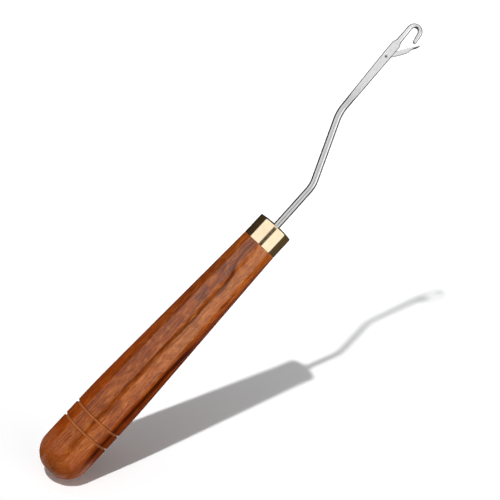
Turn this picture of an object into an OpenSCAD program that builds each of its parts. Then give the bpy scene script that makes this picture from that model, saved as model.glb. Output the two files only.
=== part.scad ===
// Latch hook tool: a turned wooden handle, a brass ferrule and a cranked steel shank with a hook,
// whose latch swings on a rivet. The tool lies on its side: +X runs along the handle towards the
// hook, +Y is the side that the crank steps to, +Z is up. The origin is on the handle's axis, at
// the middle of the ferrule.

/* [Handle] */
// Length of wood that shows, from the butt to the ferrule
handle_len = 87.65; // [60:0.1:130]
// Radius of the barrel, near the butt
handle_r = 7.8; // [6.5:0.05:12]
// Slope of the taper towards the ferrule, in degrees
handle_taper = 2.2; // [1.8:0.01:3.5]
// How softly the taper runs into the barrel
taper_blend = 0.08; // [0.02:0.01:0.2]
// Length of the rounded butt
dome_len = 6.75; // [4:0.05:10]
// How much of the dome's tip is turned off flat
dome_cut = 0.65; // [0.2:0.05:1.5]
// Fullness of the rounded butt: 2 is an ellipse, more is squarer
dome_power = 2; // [1.8:0.05:3]
// Number of scored rings
ring_count = 2; // [1:1:3]
// Distance from the butt to the first scored ring
ring_from_butt = 15; // [12:0.1:20]
// Distance from one scored ring to the next
ring_pitch = 5.05; // [2:0.05:8]
// Width of a scored ring
ring_w = 0.85; // [0.4:0.05:1.2]
// Depth of a scored ring
ring_depth = 0.5; // [0.3:0.05:0.8]
// Length of the bevel where the wood meets the ferrule
rim_bevel_len = 0.4; // [0.2:0.05:1]
// Depth of that bevel
rim_bevel_depth = 0.1; // [0.05:0.01:0.2]

/* [Ferrule] */
// Length of the ferrule
ferrule_len = 7; // [5:0.1:14]
// Outer radius of the ferrule, which the wood meets flush
ferrule_r = 5.5; // [4.5:0.05:6.4]
// Wall of the drawn cap
ferrule_wall = 0.4; // [0.3:0.05:0.8]
// Rounding of the cap's front edge
ferrule_edge_r = 0.35; // [0.2:0.05:0.8]
// How far the cap's front face is crowned
ferrule_crown = 0.4; // [0.1:0.05:0.8]
// Gap all round the wire where it leaves the cap
wire_hole_clear = 0.08; // [0.03:0.01:0.2]
// Radial clearance between the cap and the wooden tenon
tenon_clear = 0.02; // [0.01:0.01:0.1]
// Gap between the tenon's end and the inside of the cap
tenon_end_gap = 0.25; // [0.1:0.05:0.6]

/* [Shank] */
// Diameter of the round wire
wire_d = 2.1; // [1.7:0.05:2.4]
// Length of the tang behind the ferrule's front edge
tang_len = 28; // [15:0.5:50]
// Chamfer on the tang's end
tang_chamfer = 0.4; // [0.1:0.05:0.6]
// Radial clearance of the tang in its drilled hole
tang_clear = 0.02; // [0.01:0.01:0.1]
// Length of the drilled hole past the tang's end
tang_end_gap = 0.3; // [0.1:0.05:2]
// Distance from the top of the ferrule's crown to the corner where the wire starts to lean
neck_run = 0.6; // [0.6:0.1:2]
// Angle of the first run to the handle's axis, in degrees
first_angle = 1; // [0.5:0.1:3]
// Length of the first run, corner to corner
first_run = 14.65; // [10:0.05:25]
// Angle of the crank to the handle's axis, in degrees
crank_angle = 22.9; // [15:0.1:30]
// Length of the crank, corner to corner
crank_run = 22.22; // [14:0.02:32]
// Angle of the blade to the handle's axis, in degrees
blade_angle = 3.05; // [0:0.05:8]
// Radius of the slight bend at the neck, on the wire's centre line
neck_bend_r = 20; // [10:1:22]
// Radius of the first bend, on the wire's centre line
first_bend_r = 9.5; // [5:0.1:14]
// Radius of the second bend, on the wire's centre line
second_bend_r = 12.5; // [5:0.1:14]

/* [Blade] */
// Length of round wire from the second bend to where the flats begin
plain_run = 1.24; // [0.5:0.01:12]
// Thickness across the ground flats
blade_t = 1.4; // [1.3:0.02:1.6]
// Length over which each flat runs out into the round wire
flats_runout = 4; // [2:0.1:8]
// Length of full flats behind the slot
flats_past_slot = 5.2; // [1:0.1:12]
// Depth of the blade at the rivet
blade_depth = 2.6; // [2.3:0.05:2.8]
// Depth of the blade at its nose
nose_depth = 2.64; // [2.4:0.02:2.9]
// Metal between the slot's front end and the nose
nose_wall = 0.3; // [0.2:0.05:1]
// Length of the shoulder that drops from the nose to the hook's wire
shoulder_len = 1.6; // [1.2:0.1:3]

/* [Hook] */
// Distance from the rivet to the start of the hook's bend
hook_run = 10.65; // [10.5:0.05:13]
// Diameter of the hook's wire where it leaves the shoulder
leg_d = 1.6; // [1.3:0.02:1.7]
// Diameter of the hook's wire in the bend
hook_d = 1.38; // [1:0.02:1.4]
// Radius of the hook's bend, on the wire's centre line
hook_r = 1.66; // [1.5:0.01:2]
// Turn of the hook's bend, in degrees
hook_turn = 172; // [165:0.5:176]
// Length of the beard, from the bend to the centre of its round end
beard_len = 2.5; // [2:0.05:3]
// Diameter of the beard at its round end
beard_d = 1.1; // [0.8:0.02:1.3]

/* [Latch] */
// Thickness of the flat blank
latch_t = 0.5; // [0.4:0.02:0.6]
// Radius of the latch's round root
root_r = 0.66; // [0.6:0.01:0.72]
// Height of the latch's back above the line from the rivet to the tip
back_height = 0.58; // [0.5:0.01:0.64]
// Depth of the latch's belly below that line
belly_depth = 0.9; // [0.8:0.01:1]
// Distance from the rivet to where the belly is at its full depth
belly_from = 4.2; // [3.5:0.05:4.6]
// Distance from the rivet to where the belly starts to rise to the spoon
belly_to = 5.8; // [4.8:0.05:6]
// Length of the spoon, from the neck to the tip
spoon_len = 2.45; // [2.1:0.05:3]
// How far the tip reaches past the beard's round end
spoon_past = 1.05; // [0.8:0.05:1.3]
// Height of the spoon's rim above the line from the rivet to the tip
rim_height = 0.3; // [0.28:0.01:0.4]
// Depth of the spoon, edge on
spoon_depth = 0.6; // [0.5:0.01:0.65]
// Width of the spoon
spoon_w = 1.3; // [1.1:0.02:1.6]
// Depth of the hollow in the spoon that takes the beard
cup_depth = 0.2; // [0.1:0.01:0.25]
// Length of that hollow
cup_len = 1.7; // [1.2:0.05:1.9]
// Gap between the hollow and the beard when the latch is closed
closed_gap = 0.06; // [0.04:0.01:0.15]
// How far open the latch lies, in degrees
latch_open = 5.8; // [1:0.1:60]

/* [Slot and rivet] */
// Clearance of the latch in the slot, on each side
slot_clear = 0.05; // [0.02:0.01:0.08]
// Gap between the latch's root and the roof of the slot
root_gap = 0.08; // [0.05:0.01:0.1]
// Length of the slot's mouth past the latch, at each end
slot_past = 0.35; // [0.3:0.05:0.7]
// Flat stretch of the slot's roof behind the rivet
roof_back = 2.6; // [2:0.1:3]
// Flat stretch of the slot's roof in front of the rivet
roof_front = 0.5; // [0.2:0.05:0.8]
// Diameter of the rivet
rivet_d = 0.8; // [0.6:0.02:0.9]
// Radial clearance of the latch on the rivet
rivet_clear = 0.05; // [0.03:0.01:0.08]
// Radial clearance of the rivet in the cheeks of the blade
cheek_clear = 0.01; // [0.01:0.005:0.02]
// Diameter of the rivet's countersunk heads
head_d = 1.1; // [1:0.02:1.3]
// Depth of the countersunk heads
head_h = 0.12; // [0.08:0.01:0.16]
// Diameter of the staking mark in each head
stake_d = 0.66; // [0.3:0.02:0.7]
// Depth of the staking mark
stake_depth = 0.1; // [0.05:0.01:0.2]

/* [Hidden] */
fine = 96;
through = 0.5;
lap = 0.05;
swell = 0.003;
arc_steps = 12;

// Places along the handle's axis
ferrule_back = -ferrule_len / 2;
ferrule_front = ferrule_len / 2;
butt = ferrule_back - handle_len;
dome_end = butt + dome_len;
tang_end = ferrule_front - tang_len;

// The tenon in the cap, and the drilled hole for the tang
cap_bore_r = ferrule_r - ferrule_wall;
tenon_r = cap_bore_r - tenon_clear;
tenon_end = ferrule_front - ferrule_wall - tenon_end_gap;
wire_r = wire_d / 2;
drill_r = wire_r + tang_clear;
drill_half_angle = 59;
drill_point = drill_r / tan(drill_half_angle);

// Corners of the wire's centre line
function heading(a) = [cos(a), sin(a)];
function bend_reach(r, turn) = r * tan(abs(turn) / 2);
neck_corner = [ferrule_front + ferrule_crown + neck_run, 0];
first_corner = neck_corner + first_run * heading(first_angle);
second_corner = first_corner + crank_run * heading(crank_angle);
neck_reach = bend_reach(neck_bend_r, first_angle);
first_reach = bend_reach(first_bend_r, crank_angle - first_angle);
second_reach = bend_reach(second_bend_r, blade_angle - crank_angle);

// The hook, seen from the rivet along the blade: its bend, and the centre of the beard's round end
beard_angle = -hook_turn;
bend_end = [hook_run, -hook_r] + hook_r * heading(90 - hook_turn);
beard_end = bend_end + beard_len * heading(beard_angle);
beard_away = norm(beard_end);

// The closed latch: how far its line lies below the blade, with the beard in the spoon's hollow
line_to_beard = rim_height - cup_depth + closed_gap + beard_d / 2;
closed_angle = asin(line_to_beard / beard_away) - atan2(beard_end[1], beard_end[0]);
cup_at = sqrt(pow(beard_away, 2) - pow(line_to_beard, 2));
latch_len = cup_at + spoon_past;
spoon_from = latch_len - spoon_len;
latch_hole_r = rivet_d / 2 + rivet_clear;

// The slot, seen from the rivet along the blade
slot_w = latch_t + 2 * slot_clear;
slot_roof = root_r + root_gap;
slot_back = spoon_from + slot_past;
slot_front = (nose_depth / 2 + back_height / cos(closed_angle)) / tan(closed_angle) + slot_past;
nose_run = slot_front + nose_wall;
flats_full = slot_back + flats_past_slot;
flats_back = flats_full + flats_runout;
rivet_run = second_reach + plain_run + flats_back;
rivet_at = second_corner + rivet_run * heading(blade_angle);

// A smooth step from 0 to 1
function ease(t) = (1 - cos(180 * min(1, max(0, t)))) / 2;

// Radius of the wood at x: the line of the taper and the line of the barrel, blended where they meet
function wood_r(x) =
    let (taper = ferrule_r + tan(handle_taper) * (ferrule_back - x))
    (taper + handle_r) / 2 - norm([(taper - handle_r) / 2, taper_blend]);

// A point of the dome's outline, from its tip at 0 degrees to its rim at 90
function dome_point(a) =
    let (corner_power = 2 / dome_power)
    [dome_end - (dome_len + dome_cut) * pow(cos(a), corner_power),
        wood_r(dome_end) * pow(sin(a), corner_power)];

// Height of the latch's back at x, flat and then down to the spoon's rim
function back_edge(x) =
    back_height + (rim_height - back_height) * ease((x - spoon_from + spoon_len / 2.5) / (spoon_len / 1.4));

// Depth of the latch's belly at x: root, belly, then the spoon's back, which turns up at the tip
function belly_edge(x) =
    x < belly_from ? root_r + (belly_depth - root_r) * ease(x / belly_from)
    : x < spoon_from ? belly_depth + (spoon_depth - rim_height - belly_depth)
        * ease((x - belly_to) / (spoon_from - belly_to))
    : spoon_depth * sqrt(max(0, 1 - pow((x - spoon_from) / spoon_len, 4))) - rim_height;

// Half the latch's width at x, seen from above its back: the flat blank and then the spoon
function half_width(x) =
    let (from = spoon_from - spoon_len / 4, widest = latch_len - spoon_len / 2)
    x < widest ? latch_t / 2 + (spoon_w - latch_t) / 2 * ease((x - from) / (widest - from))
    : spoon_w / 2 * sqrt(max(0, 1 - pow((x - widest) / (latch_len - widest), 2)));

// Turns a shape's own Z axis onto X
module along_x() rotate([0, 90, 0]) children();

// Puts a shape at a point of the plane of the bends, turned to a heading
module at(p, a) translate([p[0], p[1], 0]) rotate([0, 0, a]) children();

// A solid turned on the X axis from points [x, radius]
module turned(profile) along_x() rotate_extrude($fn = fine) polygon([for (p = profile) [p[1], p[0]]]);

// A straight run of wire between two distances, which laps a little into the bends at its ends
module run(from, to)
    turned([[from - lap, 0], [from - lap, wire_r], [to + lap, wire_r], [to + lap, 0]]);

// A bend that starts at the origin, heading along X, and turns by an angle. It is a hair thicker
// than the straight wire, so that the runs end inside it.
module bend(r, turn, wire_radius) {
    side = sign(turn);
    translate([0, side * r, 0]) rotate([0, 0, min(turn, 0) - side * 90])
        rotate_extrude(angle = abs(turn), $fn = fine) translate([r, 0]) circle(wire_radius + swell);
}

// A score cut round the wood with a round-nosed tool
module scored_ring(x)
    translate([x, 0, 0]) along_x() rotate_extrude($fn = fine)
        translate([wood_r(x) - ring_depth + ring_w / 2, 0]) circle(ring_w / 2, $fn = fine / 2);

// The handle, turned from one blank: butt, barrel, taper, shoulder and tenon, drilled for the tang
module handle() {
    dome_steps = 20;
    barrel_steps = 24;
    flat_at = acos(pow(dome_len / (dome_len + dome_cut), dome_power / 2));
    dome = [for (i = [0 : dome_steps - 1]) dome_point(flat_at + (90 - flat_at) * i / dome_steps)];
    bevel_x = ferrule_back - rim_bevel_len;
    barrel = [for (i = [0 : barrel_steps]) let (x = dome_end + (bevel_x - dome_end) * i / barrel_steps)
        [x, wood_r(x)]];
    tenon = [[ferrule_back, wood_r(ferrule_back) - rim_bevel_depth], [ferrule_back, tenon_r],
        [tenon_end, tenon_r], [tenon_end, 0]];
    hole = [[tang_end - tang_end_gap - drill_point, 0], [tang_end - tang_end_gap, drill_r],
        [tenon_end + through, drill_r], [tenon_end + through, 0]];
    color("sienna") difference() {
        turned(concat([[butt, 0]], dome, barrel, tenon));
        turned(hole);
        for (i = [0 : ring_count - 1]) scored_ring(butt + ring_from_butt + i * ring_pitch);
    }
}

// The ferrule, a brass cap drawn from sheet: open at the back, crowned in front, with a hole for the wire
module ferrule() {
    edge_x = ferrule_front - ferrule_edge_r;
    edge_y = ferrule_r - ferrule_edge_r;
    edge = [for (i = [0 : arc_steps]) [edge_x, edge_y] + ferrule_edge_r * heading(90 - 90 * i / arc_steps)];
    hole_r = wire_r + wire_hole_clear;
    crown = [for (i = [1 : arc_steps]) let (r = edge_y + (hole_r - edge_y) * i / arc_steps)
        [ferrule_front + ferrule_crown * (1 - pow(r / edge_y, 2)), r]];
    inside = [for (i = [arc_steps : -1 : 1]) crown[i - 1] - [ferrule_wall, 0]];
    color("gold") turned(concat([[ferrule_back, cap_bore_r], [ferrule_back, ferrule_r]], edge, crown, inside,
        [[ferrule_front - ferrule_wall, cap_bore_r]]));
}

// The blade's blank, turned in shape: round wire, blade, nose, shoulder and the hook's leg
module blade_blank() {
    shoulder = [for (i = [0 : arc_steps]) let (t = i / arc_steps)
        [nose_run + shoulder_len * t, (nose_depth + (leg_d - nose_depth) * ease(t)) / 2]];
    from = second_reach - rivet_run - lap;
    turned(concat([[from, 0], [from, wire_r], [-flats_back, wire_r], [0, blade_depth / 2]], shoulder,
        [[hook_run, hook_d / 2], [hook_run + lap, hook_d / 2], [hook_run + lap, 0]]));
}

// What the two ground flats leave of the blank, seen edge on
module flats() {
    half = [[second_reach - rivet_run - through, wire_d], [-flats_back, wire_r],
        [-flats_full, blade_t / 2], [hook_run + through, blade_t / 2]];
    across = [for (i = [0 : 3]) [half[3 - i][0], -half[3 - i][1]]];
    rotate([90, 0, 0]) linear_extrude(height = 2 * nose_depth, center = true) polygon(concat(half, across));
}

// The slot, sawn from the blade's underside: a flat roof that a round saw runs out of at both ends
module slot() {
    drop = slot_roof + nose_depth / 2;
    function roof(t, run) = let (saw_r = (run * run + drop * drop) / (2 * drop))
        slot_roof - saw_r + sqrt(saw_r * saw_r - pow(t * run, 2));
    run_back = slot_back - roof_back;
    run_front = slot_front - roof_front;
    back = [for (i = [arc_steps : -1 : 0]) let (t = i / arc_steps)
        [-roof_back - t * run_back, roof(t, run_back)]];
    front = [for (i = [0 : arc_steps]) let (t = i / arc_steps)
        [roof_front + t * run_front, roof(t, run_front)]];
    mouth = [[slot_front, -nose_depth], [-slot_back, -nose_depth]];
    linear_extrude(height = slot_w, center = true) polygon(concat(back, front, mouth));
}

// The rivet's outline or, with a clearance, the hole that it is set in
module rivet_shape(clear)
    rotate_extrude($fn = fine) polygon([[0, -blade_t / 2], [head_d / 2 + clear, -blade_t / 2],
        [rivet_d / 2 + clear, head_h - blade_t / 2], [rivet_d / 2 + clear, blade_t / 2 - head_h],
        [head_d / 2 + clear, blade_t / 2], [0, blade_t / 2]]);

// The beard, which tapers from the hook's bend to a round end
module beard() {
    tip_r = beard_d / 2;
    round_end = [for (i = [0 : arc_steps]) [beard_len, 0] + tip_r * heading(90 - 90 * i / arc_steps)];
    turned(concat([[-lap, 0], [-lap, hook_d / 2], [0, hook_d / 2]], round_end));
}

// The shank, one piece of steel: tang, cranked wire, slotted blade and hook
module shank() {
    color("silver") {
        turned([[tang_end, 0], [tang_end, wire_r - tang_chamfer], [tang_end + tang_chamfer, wire_r],
            [neck_corner[0] - neck_reach + lap, wire_r], [neck_corner[0] - neck_reach + lap, 0]]);
        at(neck_corner - [neck_reach, 0], 0) bend(neck_bend_r, first_angle, wire_r);
        at(neck_corner, first_angle) run(neck_reach, first_run - first_reach);
        at(first_corner - first_reach * heading(first_angle), first_angle)
            bend(first_bend_r, crank_angle - first_angle, wire_r);
        at(first_corner, crank_angle) run(first_reach, crank_run - second_reach);
        at(second_corner - second_reach * heading(crank_angle), crank_angle)
            bend(second_bend_r, blade_angle - crank_angle, wire_r);
        at(rivet_at, blade_angle) {
            difference() {
                intersection() {
                    blade_blank();
                    flats();
                }
                slot();
                rivet_shape(cheek_clear);
            }
            translate([hook_run, 0, 0]) bend(hook_r, -hook_turn, hook_d / 2);
            at(bend_end, beard_angle) beard();
        }
    }
}

// The latch, stamped flat and swaged into a spoon: its outline from the side, cut by the one from above
module latch() {
    root = [for (i = [0 : arc_steps]) root_r * heading(90 + 180 * i / arc_steps)];
    edge_steps = 40;
    xs = [for (i = [1 : edge_steps]) latch_len * sin(90 * i / edge_steps)];
    below = [for (x = xs) [x, -belly_edge(x)]];
    above = [for (i = [edge_steps - 1 : -1 : 0]) [xs[i], back_edge(xs[i])]];
    sides = [for (i = [0 : edge_steps - 1]) [xs[i], half_width(xs[i])]];
    other = [for (i = [edge_steps - 2 : -1 : 0]) [xs[i], -half_width(xs[i])]];
    cup_r = (pow(cup_len / 2, 2) + pow(cup_depth, 2)) / (2 * cup_depth);
    cup_groove_r = beard_d / 2 + closed_gap;
    color("gainsboro") at(rivet_at, blade_angle - closed_angle - latch_open) difference() {
        intersection() {
            linear_extrude(height = spoon_w, center = true) polygon(concat(root, below, above));
            rotate([90, 0, 0]) linear_extrude(height = 4 * belly_depth, center = true)
                polygon(concat([[-root_r, latch_t / 2]], sides, other, [[-root_r, -latch_t / 2]]));
        }
        cylinder(r = latch_hole_r, h = spoon_w, center = true, $fn = fine);
        translate([cup_at, rim_height - cup_depth + cup_r, 0]) rotate_extrude($fn = fine)
            translate([cup_r - cup_groove_r, 0]) circle(cup_groove_r, $fn = fine / 2);
    }
}

// The rivet, staked at both ends into the countersinks of the blade
module latch_rivet()
    color("darkgray") at(rivet_at, 0) difference() {
        rivet_shape(0);
        for (end = [-1, 1]) translate([0, 0, end * blade_t / 2]) mirror([0, 0, end > 0 ? 1 : 0])
            cylinder(r1 = stake_d / 2, r2 = 0, h = stake_depth, $fn = fine);
    }

handle();
ferrule();
shank();
latch();
latch_rivet();
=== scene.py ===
"""Latch hook tool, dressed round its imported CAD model. Sizes are in millimetres until a mesh is made."""

import bmesh
import bpy
import numpy as np
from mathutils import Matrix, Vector


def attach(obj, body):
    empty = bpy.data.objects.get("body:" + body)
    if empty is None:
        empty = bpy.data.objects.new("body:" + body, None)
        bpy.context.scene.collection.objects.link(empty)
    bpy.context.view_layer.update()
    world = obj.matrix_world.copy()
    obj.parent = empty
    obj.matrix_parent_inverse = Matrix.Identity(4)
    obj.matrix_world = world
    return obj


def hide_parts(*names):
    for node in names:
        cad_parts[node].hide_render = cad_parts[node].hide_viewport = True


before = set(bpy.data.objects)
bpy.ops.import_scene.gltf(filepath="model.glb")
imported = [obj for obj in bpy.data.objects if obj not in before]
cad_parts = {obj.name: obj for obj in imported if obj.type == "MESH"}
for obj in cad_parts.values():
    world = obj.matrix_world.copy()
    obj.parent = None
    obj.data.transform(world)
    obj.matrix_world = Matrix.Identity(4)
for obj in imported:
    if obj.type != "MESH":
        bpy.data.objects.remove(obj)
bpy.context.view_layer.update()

# HANDLE
# One piece of rosewood, turned on a lathe from butt to tenon, scored with two rings near the butt,
# sanded and varnished. The ferrule hides the tenon and the mouth of the hole that is drilled for the tang.
MM = 0.001
ferrule_len, ferrule_r, ferrule_wall = 7.0, 5.5, 0.4
handle_len, handle_r, taper_slope, taper_blend = 87.65, 7.8, np.radians(2.2), 0.08
dome_len, dome_cut = 6.75, 0.65
ring_places, ring_w, ring_depth, ring_flat, ring_rim = (15.0, 20.05), 0.85, 0.5, 0.55, 0.6
rim_bevel_len, rim_bevel_depth = 0.4, 0.1
tenon_clear, tenon_end_gap, drill_tip = 0.02, 0.25, 0.6
wire_r, tang_len, tang_clear, tang_end_gap = 1.05, 28.0, 0.02, 0.3
ferrule_back, ferrule_front = -ferrule_len / 2, ferrule_len / 2
butt = ferrule_back - handle_len
dome_end = butt + dome_len


def ease(t):
    """Half a cosine wave that climbs smoothly from 0 to 1 as t goes from 0 to 1."""
    return (1 - np.cos(np.pi * np.clip(t, 0, 1))) / 2


def turn(profile, around=160):
    """Turns a profile of (place along X, radius) about the X axis: each point goes round in even steps."""
    angle = np.linspace(0, 2 * np.pi, around, endpoint=False)
    x, r = np.asarray(profile, float).T
    rings = [np.outer(x, np.ones(around)), np.outer(r, np.cos(angle)), np.outer(r, np.sin(angle))]
    return np.stack(rings, -1)


def skin(name, grid, poles, marks=None, crease=30):
    """Covers a grid of rings with quads. A ring's last point joins its first, and a fan of triangles closes
    each end on its pole. The UV map holds metres along the rings' middles and turns of the way round."""
    rings, around = grid.shape[:2]
    here = np.arange(rings * around).reshape(rings, around)
    beside = np.roll(here, -1, axis=1)
    quads = np.stack([here[:-1], beside[:-1], beside[1:], here[1:]], -1).reshape(-1, 4)
    pole = np.full(around, rings * around)
    first_fan = np.stack([pole, beside[0], here[0]], -1)
    last_fan = np.stack([pole + 1, here[-1], beside[-1]], -1)
    mesh = bpy.data.meshes.new(name)
    points = np.vstack([grid.reshape(-1, 3), poles]) * MM
    mesh.from_pydata(points.tolist(), [], quads.tolist() + first_fan.tolist() + last_fan.tolist())
    middles = grid.mean(1)
    along = np.concatenate([[0], np.linalg.norm(np.diff(middles, axis=0), axis=1).cumsum()]) * MM
    row, col = np.divmod(np.arange((rings - 1) * around), around)
    quad_uv = np.stack([np.stack([along[row], along[row], along[row + 1], along[row + 1]], -1),
                        np.stack([col, col + 1, col + 1, col], -1) / around], -1)
    col = np.arange(around)
    fan_uv = [np.stack([np.full((around, 3), along[end]), np.stack(turns, -1) / around], -1)
              for end, turns in ((0, (col, col + 1, col)), (-1, (col, col, col + 1)))]
    uv = np.concatenate([quad_uv.reshape(-1, 2), fan_uv[0].reshape(-1, 2), fan_uv[1].reshape(-1, 2)])
    mesh.uv_layers.new(name="lay").data.foreach_set("uv", uv.ravel().astype(np.float32))
    for mark, values in (marks or {}).items():
        each = np.concatenate([np.repeat(values, around), values[:1], values[-1:]]).astype(np.float32)
        mesh.attributes.new(mark, "FLOAT", "POINT").data.foreach_set("value", each)
    mesh.shade_smooth()
    mesh.set_sharp_from_angle(angle=np.radians(crease))
    piece = bpy.data.objects.new(name, mesh)
    bpy.context.scene.collection.objects.link(piece)
    return piece


def barrel_radius(x):
    """The line of the taper and the line of the barrel, blended where they meet."""
    taper = ferrule_r + np.tan(taper_slope) * (ferrule_back - x)
    return (taper + handle_r) / 2 - np.hypot((taper - handle_r) / 2, taper_blend)


def score(x):
    """1 on the flat of a scored ring, easing to 0 over its softened rim. Both are measured in half widths."""
    away = np.min([np.abs(x - butt - place) for place in ring_places], axis=0) / (ring_w / 2)
    return 1 - ease((away - ring_flat) / ring_rim)


# The dome is half an ellipse with its tip cut off flat
flat_at = np.arccos(dome_len / (dome_len + dome_cut))
sweep = np.linspace(flat_at, np.pi / 2, 49)[:-1]
dome_x = dome_end - (dome_len + dome_cut) * np.cos(sweep)
dome_y = barrel_radius(dome_end) * np.sin(sweep)
rings_from, rings_to = butt + ring_places[0] - 1, butt + ring_places[1] + 1
bevel_x = ferrule_back - rim_bevel_len
barrel_x = np.unique(np.concatenate([
    np.linspace(dome_end, rings_from, 20), np.linspace(rings_from, rings_to, 150),
    np.linspace(rings_to, bevel_x - 0.5, 70), np.linspace(bevel_x - 0.5, bevel_x, 4)]))
bevel = np.linspace(0, 1, 7)[1:]
tenon_r = ferrule_r - ferrule_wall - tenon_clear
tenon_end = ferrule_front - ferrule_wall - tenon_end_gap
drill_r, hole_end = wire_r + tang_clear, ferrule_front - tang_len - tang_end_gap

# Its outline: the dome, the barrel with its rings, the softened rim, the tenon, and back down the hole
wood_outline = np.concatenate([
    np.stack([dome_x, dome_y], -1),
    np.stack([barrel_x, barrel_radius(barrel_x) - ring_depth * score(barrel_x)], -1),
    np.stack([bevel_x + rim_bevel_len * bevel, barrel_radius(bevel_x + rim_bevel_len * bevel)
              - rim_bevel_depth * ease(bevel)], -1),
    [[ferrule_back, tenon_r], [tenon_end, tenon_r], [tenon_end, drill_r], [hole_end, drill_r]]])
bare = score(wood_outline[:, 0])
wood_poles = [[butt, 0, 0], [hole_end - drill_tip, 0, 0]]
turned_handle = skin("turned_handle", turn(wood_outline), wood_poles, {"bare": bare}, crease=40)


def linear(shade):
    """An sRGB hex colour as linear light: below 0.04045 over 12.92, above by the 2.4 power curve."""
    part = np.array([int(shade[i:i + 2], 16) for i in (1, 3, 5)]) / 255
    light = np.where(part <= 0.04045, part / 12.92, ((part + 0.055) / 1.055) ** 2.4)
    return (*light.tolist(), 1.0)


def add(material, kind, *feeds, out=0, stops=(), **settings):
    """Adds one node with its settings and ramp stops, and gives back one of its outputs. The feeds go to its
    sockets in order, or to those that one dict names: each is a value, or an output to link."""
    tree = material.node_tree
    node = tree.nodes.new("ShaderNode" + kind)
    for key, value in settings.items():
        setattr(node, key, value)
    for i, (place, shade) in enumerate(stops):
        stop = node.color_ramp.elements[i] if i < 2 else node.color_ramp.elements.new(place)
        stop.position, stop.color = place, linear(shade)
    fed = feeds[0] if feeds and isinstance(feeds[0], dict) else dict(enumerate(feeds))
    for key, value in fed.items():
        if isinstance(value, bpy.types.NodeSocket):
            tree.links.new(value, node.inputs[key])
        else:
            node.inputs[key].default_value = value
    return node.outputs[out] if node.outputs else None


def new_material(name):
    """An empty node material."""
    material = bpy.data.materials.new(name)
    material.use_nodes = True
    material.node_tree.nodes.clear()
    return material


def on_piece(material):
    """The place on the piece in millimetres: its Object coordinates times 1000."""
    place = add(material, "TexCoord", out="Object")
    return add(material, "VectorMath", {0: place, "Scale": 1000.0}, operation="SCALE")


def grain(material, at, cell, shift=(0.0, 0.0, 0.0), detail=3.0, rough=0.5):
    """Noise whose cells have this length, width and height, in the unit of the place that it is read at, and
    which is shifted by some cells."""
    scaled = add(material, "Mapping", {"Vector": at, "Scale": [1 / size for size in cell], "Location": shift})
    return add(material, "TexNoise", {"Vector": scaled, "Scale": 1.0, "Detail": detail, "Roughness": rough})


def stain(material, colour, shade, strength, *masks):
    """Lays one more shade over a colour, as strongly as the strength times all the masks."""
    for mask in masks:
        strength = add(material, "Math", mask, strength, operation="MULTIPLY")
    return add(material, "Mix", {0: strength, 6: colour, 7: linear(shade)}, out=2, data_type="RGBA")


# Rosewood under a clear gloss varnish: brown above and lighter orange below, parted by a wavy dark vein, with
# streaks, fine lines and pores along the grain. The scored rings show paler wood, bare of varnish.
rosewood = new_material("varnished_rosewood")
wood_at = on_piece(rosewood)
wood_x, wood_y, wood_z = add(rosewood, "SeparateXYZ", wood_at, out=slice(3))
off_middle = add(rosewood, "Math", wood_y, operation="ABSOLUTE")


def patch(x, x_soft, y, y_soft):
    """A mask that is 1 between two places along the handle and two across it, and soft outside them."""
    mask = 1.0
    for place, edges, soft in ((wood_x, x, x_soft), (wood_y, y, y_soft)):
        for edge, way in zip(edges, (-1, 1)):
            side = add(rosewood, "MapRange", place, edge + way * soft, edge, interpolation_type="SMOOTHSTEP")
            mask = add(rosewood, "Math", mask, side, operation="MULTIPLY")
    return mask


# The vein's height over the handle's middle: it dips, then climbs towards the ferrule, and it wanders and
# ripples. The lane is how far a place lies above the vein, and most of the figure is laid along it.
wander = grain(rosewood, wood_at, (28.6, 8.33, 8.33), (3.1, 0.4, 1.7), detail=2.0)
ripple = grain(rosewood, wood_at, (7.69, 3.33, 3.33), (1.2, 0.0, 5.0))
vein_y = add(rosewood, "MapRange", wood_x, -22, -7, -1.2, 2.0, interpolation_type="SMOOTHSTEP")
for rise in (add(rosewood, "MapRange", wood_x, -32, -44, 0.0, 1.1, interpolation_type="SMOOTHSTEP"),
             add(rosewood, "MapRange", wander, 0.3, 0.7, -0.5, 0.5),
             add(rosewood, "MapRange", ripple, 0.3, 0.7, -0.45, 0.45)):
    vein_y = add(rosewood, "Math", vein_y, rise, operation="ADD")
share = add(rosewood, "MapRange", off_middle, 6.0, 1.0)
vein_y = add(rosewood, "Math", vein_y, share, operation="MULTIPLY")
lane = add(rosewood, "Math", wood_y, vein_y, operation="SUBTRACT")
laid = add(rosewood, "CombineXYZ", wood_x, lane, wood_z)

# Bands of lighter and darker wood from the lower edge to the upper one, and some that run part of the way
across = add(rosewood, "MapRange", lane, -8, 8)
colour = add(rosewood, "ValToRGB", across, stops=[
    (0.06, "#7C2C06"), (0.15, "#8A3206"), (0.22, "#A44C16"), (0.29, "#AC561C"), (0.40, "#AA561E"),
    (0.46, "#9C4A14"), (0.50, "#8E400C"), (0.56, "#944612"), (0.70, "#944616"), (0.80, "#98420B"),
    (0.95, "#963C06")])
colour = stain(rosewood, colour, "#C0702E", 0.6, patch((-38, 4), 8, (-3.8, -1.2), 1.2))
colour = stain(rosewood, colour, "#C8621C", 0.8, patch((-30, 4), 6, (-5.0, -3.8), 0.5))
colour = stain(rosewood, colour, "#662406", 0.45, patch((-54, -18), 6, (4.1, 5.4), 0.4))
colour = stain(rosewood, colour, "#A24C14", 0.6, patch((-16, 4), 6, (3.6, 5.2), 0.8))
# A pale greyish sheen is painted round the dome's rim.
dome_rim_sheen = add(rosewood, "MapRange", off_middle, 4.6, 7.2)
dome = add(rosewood, "MapRange", wood_x, -80.0, -86.5)
colour = stain(rosewood, colour, "#BC8C6C", 0.5, dome_rim_sheen, dome)
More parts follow.
